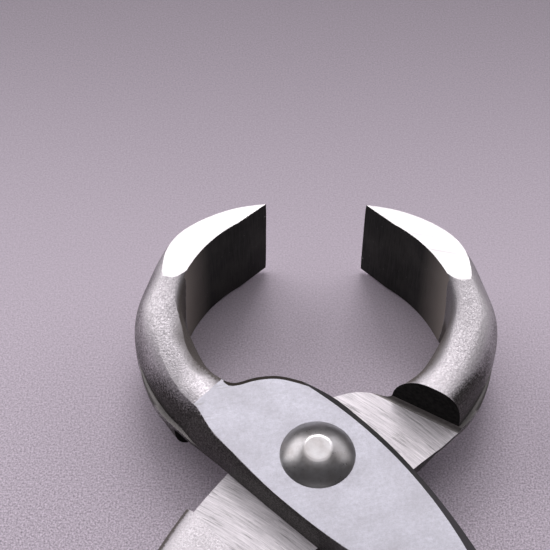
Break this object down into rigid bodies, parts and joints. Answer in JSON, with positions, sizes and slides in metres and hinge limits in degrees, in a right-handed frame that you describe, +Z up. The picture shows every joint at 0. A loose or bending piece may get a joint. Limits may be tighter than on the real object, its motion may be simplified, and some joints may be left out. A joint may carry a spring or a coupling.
{
  "type": "root cutter",
  "caption": "Plier-type steel root cutter: like forged levers crossed on a rivet, bowed jaws with hollow-ground edges that bite end on, long bowed handles with stop pegs.",
  "frame": {"origin": "middle of the tool's outline at the level of its lowest points, with the tool lying flat and its jaws open as pictured", "axes": "+Y from the handles to the jaws, +X across the tool towards the lower half's jaw, +Z up along the pivot"},
  "size_m": [0.0984, 0.2054, 0.0184],
  "materials": {
    "forged_steel": "satin, with ground faces",
    "rivet_steel": "polished",
    "peg_steel": "turned"
  },
  "bodies": {
    "upper_lever": {"upper_half": "forged_steel", "rivet": "rivet_steel", "upper_stop_peg": "peg_steel"},
    "lower_lever": {"lower_half": "forged_steel", "lower_stop_peg": "peg_steel"}
  },
  "joints": [
    {"name": "pivot", "type": "hinge", "parent": "upper_lever", "child": "lower_lever", "pos_m": [0, 0.05944, 0.00921], "axis": [0, 0, 1], "range_deg": [-38, 20]}
  ]
}
